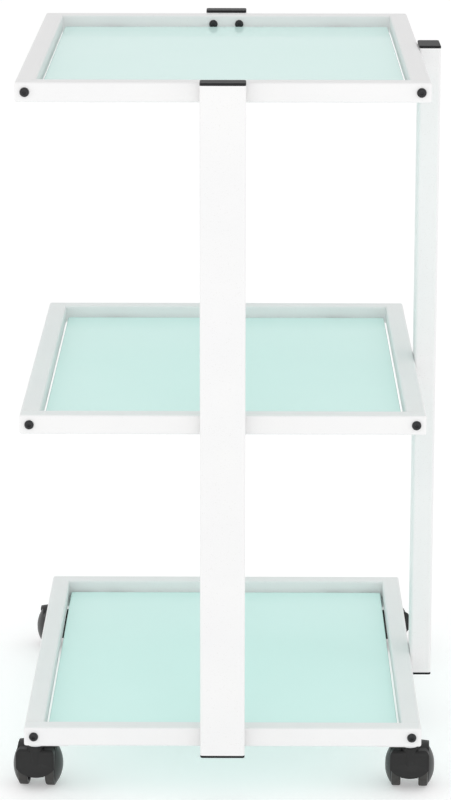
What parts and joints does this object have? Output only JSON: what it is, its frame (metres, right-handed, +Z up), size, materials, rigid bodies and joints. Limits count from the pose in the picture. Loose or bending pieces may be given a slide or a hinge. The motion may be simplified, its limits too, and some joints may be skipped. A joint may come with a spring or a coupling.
{
  "type": "rolling salon trolley",
  "caption": "Rolling salon trolley: white square-tube frames hold frosted glass shelves between flat posts at front, back and one side, on hooded twin-wheel casters.",
  "frame": {"origin": "on the floor, midway between the outermost points in X and in Y", "axes": "+Z up, -Y the front, +X the side that has the post"},
  "size_m": [0.4954, 0.632, 0.825],
  "materials": {
    "white_paint": "white powder coat, low gloss",
    "black_plastic": "moulded black polyethylene",
    "black_screw": "black oxide, lightly oiled",
    "zinc_steel": "bright zinc plate",
    "clear_pad": "clear soft PVC",
    "mint_glass": "toughened glass, milky underside, polished top",
    "caster_nylon": "black moulded nylon, fine texture",
    "wheel_nylon": "black moulded nylon, satin"
  },
  "bodies": {
    "frame": {"rail_bottom_front": "white_paint", "rail_bottom_back": "white_paint", "rail_bottom_left": "white_paint", "rail_bottom_right": "white_paint", "glass_tabs_bottom": "white_paint", "corner_screws_bottom": "black_screw", "rail_middle_front": "white_paint", "rail_middle_back": "white_paint", "rail_middle_left": "white_paint", "rail_middle_right": "white_paint", "glass_tabs_middle": "white_paint", "corner_screws_middle": "black_screw", "rail_top_front": "white_paint", "rail_top_back": "white_paint", "rail_top_left": "white_paint", "rail_top_right": "white_paint", "glass_tabs_top": "white_paint", "corner_screws_top": "black_screw", "post_front": "white_paint", "cap_top_front": "black_plastic", "cap_bottom_front": "black_plastic", "post_screws_front": "black_screw", "post_back": "white_paint", "cap_top_back": "black_plastic", "cap_bottom_back": "black_plastic", "post_screws_back": "black_screw", "post_right": "white_paint", "cap_top_right": "black_plastic", "cap_bottom_right": "black_plastic", "rail_end_plugs": "zinc_steel", "rivet_nuts": "zinc_steel", "glass_pads": "clear_pad", "caster_plate_front_left": "white_paint", "caster_stem_front_left": "zinc_steel", "caster_plate_front_right": "white_paint", "caster_stem_front_right": "zinc_steel", "caster_plate_rear_left": "white_paint", "caster_stem_rear_left": "zinc_steel", "caster_plate_rear_right": "white_paint", "caster_stem_rear_right": "zinc_steel"},
    "pane_bottom": {"glass_bottom": "mint_glass"},
    "pane_middle": {"glass_middle": "mint_glass"},
    "pane_top": {"glass_top": "mint_glass"},
    "caster_front_left": {"caster_housing_front_left": "caster_nylon", "caster_axle_front_left": "zinc_steel"},
    "wheel_left_front_left": {"wheel_left_front_left": "wheel_nylon"},
    "wheel_right_front_left": {"wheel_right_front_left": "wheel_nylon"},
    "caster_front_right": {"caster_housing_front_right": "caster_nylon", "caster_axle_front_right": "zinc_steel"},
    "wheel_left_front_right": {"wheel_left_front_right": "wheel_nylon"},
    "wheel_right_front_right": {"wheel_right_front_right": "wheel_nylon"},
    "caster_rear_left": {"caster_housing_rear_left": "caster_nylon", "caster_axle_rear_left": "zinc_steel"},
    "wheel_left_rear_left": {"wheel_left_rear_left": "wheel_nylon"},
    "wheel_right_rear_left": {"wheel_right_rear_left": "wheel_nylon"},
    "caster_rear_right": {"caster_housing_rear_right": "caster_nylon", "caster_axle_rear_right": "zinc_steel"},
    "wheel_left_rear_right": {"wheel_left_rear_right": "wheel_nylon"},
    "wheel_right_rear_right": {"wheel_right_rear_right": "wheel_nylon"}
  },
  "joints": [
    {"name": "pane_bottom_lift", "type": "slide", "parent": "frame", "child": "pane_bottom", "axis": [0, 0, 1], "range_m": [0, 0.05]},
    {"name": "pane_middle_lift", "type": "slide", "parent": "frame", "child": "pane_middle", "axis": [0, 0, 1], "range_m": [0, 0.05]},
    {"name": "pane_top_lift", "type": "slide", "parent": "frame", "child": "pane_top", "axis": [0, 0, 1], "range_m": [0, 0.05]},
    {"name": "swivel_front_left", "type": "hinge", "parent": "frame", "child": "caster_front_left", "pos_m": [-0.21628, -0.254, 0.045], "axis": [0, 0, 1], "continuous": true},
    {"name": "spin_left_front_left", "type": "hinge", "parent": "caster_front_left", "child": "wheel_left_front_left", "pos_m": [-0.21471, -0.23607, 0.025], "axis": [0.9962, -0.0872, 0], "continuous": true},
    {"name": "spin_right_front_left", "type": "hinge", "parent": "caster_front_left", "child": "wheel_right_front_left", "pos_m": [-0.21471, -0.23607, 0.025], "axis": [0.9962, -0.0872, 0], "continuous": true},
    {"name": "swivel_front_right", "type": "hinge", "parent": "frame", "child": "caster_front_right", "pos_m": [0.21172, -0.254, 0.045], "axis": [0, 0, 1], "continuous": true},
    {"name": "spin_left_front_right", "type": "hinge", "parent": "caster_front_right", "child": "wheel_left_front_right", "pos_m": [0.21266, -0.23602, 0.025], "axis": [0.9986, -0.0523, 0], "continuous": true},
    {"name": "spin_right_front_right", "type": "hinge", "parent": "caster_front_right", "child": "wheel_right_front_right", "pos_m": [0.21266, -0.23602, 0.025], "axis": [0.9986, -0.0523, 0], "continuous": true},
    {"name": "swivel_rear_left", "type": "hinge", "parent": "frame", "child": "caster_rear_left", "pos_m": [-0.21628, 0.254, 0.045], "axis": [0, 0, 1], "continuous": true},
    {"name": "spin_left_rear_left", "type": "hinge", "parent": "caster_rear_left", "child": "wheel_left_rear_left", "pos_m": [-0.2191, 0.27178, 0.025], "axis": [0.9877, 0.1564, 0], "continuous": true},
    {"name": "spin_right_rear_left", "type": "hinge", "parent": "caster_rear_left", "child": "wheel_right_rear_left", "pos_m": [-0.2191, 0.27178, 0.025], "axis": [0.9877, 0.1564, 0], "continuous": true},
    {"name": "swivel_rear_right", "type": "hinge", "parent": "frame", "child": "caster_rear_right", "pos_m": [0.21172, 0.254, 0.045], "axis": [0, 0, 1], "continuous": true},
    {"name": "spin_left_rear_right", "type": "hinge", "parent": "caster_rear_right", "child": "wheel_left_rear_right", "pos_m": [0.2044, 0.27044, 0.025], "axis": [0.9135, 0.4067, 0], "continuous": true},
    {"name": "spin_right_rear_right", "type": "hinge", "parent": "caster_rear_right", "child": "wheel_right_rear_right", "pos_m": [0.2044, 0.27044, 0.025], "axis": [0.9135, 0.4067, 0], "continuous": true}
  ]
}
